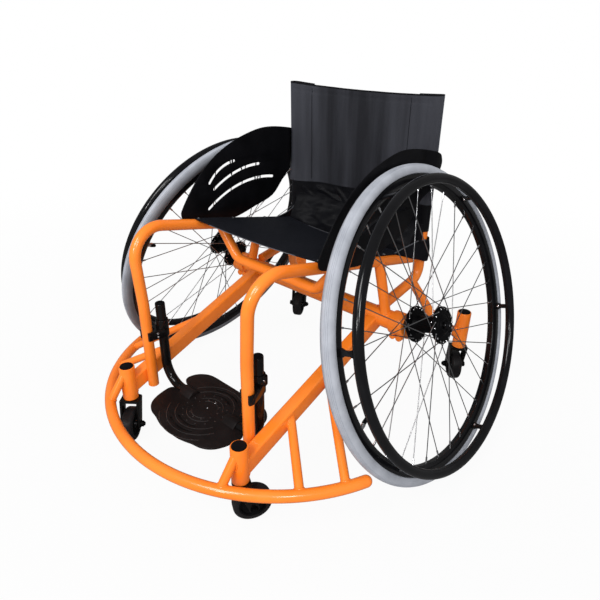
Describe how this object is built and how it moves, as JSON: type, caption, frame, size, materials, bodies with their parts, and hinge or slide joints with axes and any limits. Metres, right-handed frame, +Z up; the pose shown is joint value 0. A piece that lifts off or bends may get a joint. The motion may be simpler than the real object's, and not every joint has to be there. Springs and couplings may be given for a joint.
{
  "type": "basketball wheelchair",
  "caption": "Rigid sports wheelchair with strongly cambered cross-spoked drive wheels, push rims, front bumper, swivel castors, sling seat and back.",
  "frame": {"origin": "on the floor, under the middle of the chair's outline", "axes": "+X towards the chair's left side, +Y towards its back, +Z up"},
  "size_m": [0.855, 0.793, 0.688],
  "materials": {
    "orange_paint": "gloss orange paint",
    "black_gloss": "gloss black",
    "guard_plastic": "satin black",
    "footplate_plastic": "matte brown-black",
    "black_nylon": "woven black nylon",
    "grey_tyre": "smooth light grey rubber",
    "castor_rubber": "dark polyurethane",
    "bright_steel": "bright steel"
  },
  "bodies": {
    "frame": {"main_beam_left": "orange_paint", "main_beam_right": "orange_paint", "camber_tube": "orange_paint", "seat_rail_left": "orange_paint", "seat_rail_right": "orange_paint", "back_cane_left": "orange_paint", "back_cane_right": "orange_paint", "front_cross_tube": "orange_paint", "rail_strut_left": "orange_paint", "rail_strut_right": "orange_paint", "rear_arm_left": "orange_paint", "rear_arm_right": "orange_paint", "bumper_bar": "orange_paint", "bumper_front_strut_left": "orange_paint", "bumper_front_strut_right": "orange_paint", "bumper_side_strut_left": "orange_paint", "bumper_side_strut_right": "orange_paint", "bumper_end_strut_left": "orange_paint", "bumper_end_strut_right": "orange_paint", "front_castor_housing_left": "orange_paint", "front_castor_housing_right": "orange_paint", "rear_castor_housing_left": "orange_paint", "rear_castor_housing_right": "orange_paint", "front_housing_cap_left": "black_gloss", "front_housing_cap_right": "black_gloss", "rear_housing_cap_left": "black_gloss", "rear_housing_cap_right": "black_gloss", "footrest_clamp_left": "black_gloss", "footrest_clamp_right": "black_gloss", "side_guard_left": "guard_plastic", "side_guard_right": "guard_plastic", "seat_sling": "black_nylon", "back_sling": "black_nylon", "axle_pin_left": "bright_steel", "axle_pin_right": "bright_steel"},
    "footrest": {"footrest_tube_left": "black_gloss", "footrest_tube_right": "black_gloss", "footplate": "footplate_plastic"},
    "drive_wheel_left": {"tyre_left": "grey_tyre", "rim_left": "black_gloss", "hub_left": "black_gloss", "push_rim_left": "black_gloss"},
    "button_left": {"release_button_left": "bright_steel"},
    "front_swivel_left": {"front_castor_fork_left": "black_gloss", "front_castor_bolt_left": "bright_steel"},
    "front_roller_left": {"front_castor_wheel_left": "castor_rubber"},
    "rear_swivel_left": {"rear_castor_fork_left": "black_gloss", "rear_castor_bolt_left": "bright_steel"},
    "rear_roller_left": {"rear_castor_wheel_left": "castor_rubber"},
    "drive_wheel_right": {"tyre_right": "grey_tyre", "rim_right": "black_gloss", "hub_right": "black_gloss", "push_rim_right": "black_gloss"},
    "button_right": {"release_button_right": "bright_steel"},
    "front_swivel_right": {"front_castor_fork_right": "black_gloss", "front_castor_bolt_right": "bright_steel"},
    "front_roller_right": {"front_castor_wheel_right": "castor_rubber"},
    "rear_swivel_right": {"rear_castor_fork_right": "black_gloss", "rear_castor_bolt_right": "bright_steel"},
    "rear_roller_right": {"rear_castor_wheel_right": "castor_rubber"}
  },
  "joints": [
    {"name": "footrest_height", "type": "slide", "parent": "frame", "child": "footrest", "axis": [0, 0, 1], "range_m": [-0.02, 0.055]},
    {"name": "drive_wheel_spin_left", "type": "hinge", "parent": "frame", "child": "drive_wheel_left", "pos_m": [0.2914, 0.0915, 0.28972], "axis": [0.9478, 0, 0.319], "continuous": true},
    {"name": "button_press_left", "type": "slide", "parent": "frame", "child": "button_left", "axis": [-0.9478, 0, -0.319], "range_m": [0, 0.003], "stiffness_N_per_m": 600},
    {"name": "front_castor_swivel_left", "type": "hinge", "parent": "frame", "child": "front_swivel_left", "pos_m": [0.1715, -0.2965, 0.0917], "axis": [0, 0, 1], "continuous": true},
    {"name": "front_castor_roll_left", "type": "hinge", "parent": "front_swivel_left", "child": "front_roller_left", "pos_m": [0.181, -0.28005, 0.036], "axis": [0.866, -0.5, 0], "continuous": true},
    {"name": "rear_castor_swivel_left", "type": "hinge", "parent": "frame", "child": "rear_swivel_left", "pos_m": [0.258, 0.3375, 0.118], "axis": [0, 0, 1], "continuous": true},
    {"name": "rear_castor_roll_left", "type": "hinge", "parent": "rear_swivel_left", "child": "rear_roller_left", "pos_m": [0.24882, 0.34807, 0.056], "axis": [0.7547, 0.6561, 0], "continuous": true},
    {"name": "drive_wheel_spin_right", "type": "hinge", "parent": "frame", "child": "drive_wheel_right", "pos_m": [-0.2914, 0.0915, 0.28972], "axis": [-0.9478, 0, 0.319], "continuous": true},
    {"name": "button_press_right", "type": "slide", "parent": "frame", "child": "button_right", "axis": [0.9478, 0, -0.319], "range_m": [0, 0.003], "stiffness_N_per_m": 600},
    {"name": "front_castor_swivel_right", "type": "hinge", "parent": "frame", "child": "front_swivel_right", "pos_m": [-0.1715, -0.2965, 0.0917], "axis": [0, 0, 1], "continuous": true},
    {"name": "front_castor_roll_right", "type": "hinge", "parent": "front_swivel_right", "child": "front_roller_right", "pos_m": [-0.15929, -0.31106, 0.036], "axis": [-0.766, -0.6428, 0], "continuous": true},
    {"name": "rear_castor_swivel_right", "type": "hinge", "parent": "frame", "child": "rear_swivel_right", "pos_m": [-0.258, 0.3375, 0.118], "axis": [0, 0, 1], "continuous": true},
    {"name": "rear_castor_roll_right", "type": "hinge", "parent": "rear_swivel_right", "child": "rear_roller_right", "pos_m": [-0.25143, 0.32514, 0.056], "axis": [-0.8829, -0.4695, 0], "continuous": true}
  ]
}
